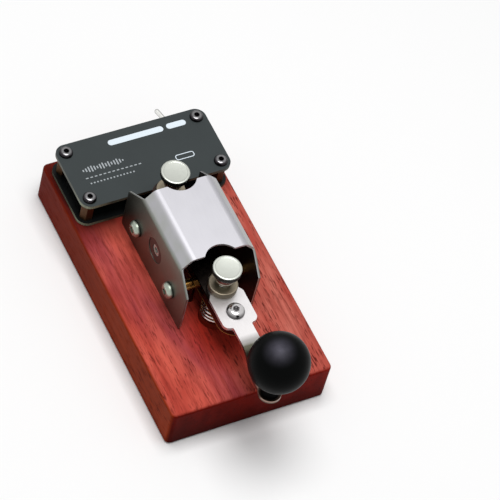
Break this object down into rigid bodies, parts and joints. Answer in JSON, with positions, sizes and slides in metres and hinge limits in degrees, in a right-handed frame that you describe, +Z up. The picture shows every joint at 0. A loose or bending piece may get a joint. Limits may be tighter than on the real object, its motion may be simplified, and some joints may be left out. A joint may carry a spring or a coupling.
{
  "type": "morse code practice key",
  "caption": "Straight Morse code practice key: a sprung lever with a ball knob under a bent steel cover, on a wooden base with a buzzer module behind it",
  "frame": {"origin": "on the underside of the mat, the face that the key rests on, midway across it and 0.8 mm behind its centre", "axes": "+X across the base, +Y along the base to the sound module at the rear, +Z up; the ball knob stands out at -Y"},
  "size_m": [0.0706, 0.1561, 0.0666],
  "materials": {
    "stained_wood": "dark reddish brown stain under satin varnish",
    "foam_rubber": "matt black foam rubber",
    "dark_steel": "black oxide steel",
    "steel": "plain steel",
    "polished_steel": "polished stainless steel",
    "nickel": "warm nickel plate",
    "brass": "turned brass",
    "bronze": "sintered bronze",
    "black_board": "black glass-fibre board",
    "black_plastic": "moulded black plastic",
    "gloss_black": "polished black phenolic",
    "blue_plastic": "moulded blue plastic",
    "red_lens": "tinted clear resin",
    "red_wire": "red wire insulation",
    "red_fibre": "vulcanised fibre"
  },
  "bodies": {
    "base": {"base_block": "stained_wood", "base_mat": "foam_rubber", "module_base_screws": "dark_steel", "frame_bolts": "dark_steel", "post_screws": "dark_steel", "base_washers": "steel", "wire_lugs": "brass", "contact_wire": "red_wire", "frame_wire": "black_plastic", "circuit_board": "black_board", "module_top_plate": "black_board", "module_pillars": "brass", "module_top_screws": "dark_steel", "buzzer": "black_plastic", "signal_lamp": "red_lens", "cell_holder": "black_plastic", "coin_cell": "steel", "driver_chip": "black_plastic", "audio_jack": "black_plastic", "switch_body": "blue_plastic", "switch_bushing": "steel", "cover": "polished_steel", "front_cross_bar": "brass", "rear_cross_bar": "brass", "side_screws": "polished_steel", "left_pivot_bush": "bronze", "left_pivot_screw": "dark_steel", "left_pivot_jam_nut": "brass", "right_pivot_bush": "bronze", "right_pivot_screw": "dark_steel", "right_pivot_jam_nut": "brass", "contact_post": "brass", "stop_post": "brass", "spring_seat": "red_fibre", "return_spring": "steel"},
    "lever": {"lever_bar": "steel", "knob_arm": "polished_steel", "arm_screw": "polished_steel", "knob_collar": "black_plastic", "ball_knob": "gloss_black", "knob_insert": "brass", "knob_screw": "polished_steel"},
    "contact_screw": {"contact_thumb_screw": "nickel"},
    "stop_screw": {"stop_thumb_screw": "nickel"},
    "contact_nut": {"contact_lock_nut": "nickel"},
    "stop_nut": {"stop_lock_nut": "nickel"},
    "toggle": {"switch_toggle": "steel"}
  },
  "joints": [
    {"name": "key_lever", "type": "hinge", "parent": "base", "child": "lever", "pos_m": [0, -0.0004, 0.037], "axis": [1, 0, 0], "range_deg": [0, 1.1], "stiffness_Nm_per_rad": 2.3, "springref_deg": -1.55, "deforming": ["return_spring"]},
    {"name": "contact_gap_adjuster", "type": "hinge", "parent": "lever", "child": "contact_screw", "pos_m": [0, -0.0272, 0.0425], "axis": [0, 0, 1], "continuous": true},
    {"name": "rest_stop_adjuster", "type": "hinge", "parent": "lever", "child": "stop_screw", "pos_m": [0, 0.0214, 0.0425], "axis": [0, 0, 1], "continuous": true},
    {"name": "contact_nut_turn", "type": "hinge", "parent": "lever", "child": "contact_nut", "pos_m": [0, -0.0272, 0.0425], "axis": [0, 0, 1], "continuous": true},
    {"name": "stop_nut_turn", "type": "hinge", "parent": "lever", "child": "stop_nut", "pos_m": [0, 0.0214, 0.0411], "axis": [0, 0, 1], "continuous": true},
    {"name": "power_toggle", "type": "hinge", "parent": "base", "child": "toggle", "pos_m": [0.0206, 0.0601, 0.0263], "axis": [0, 0, 1], "range_deg": [-28, 0]}
  ]
}
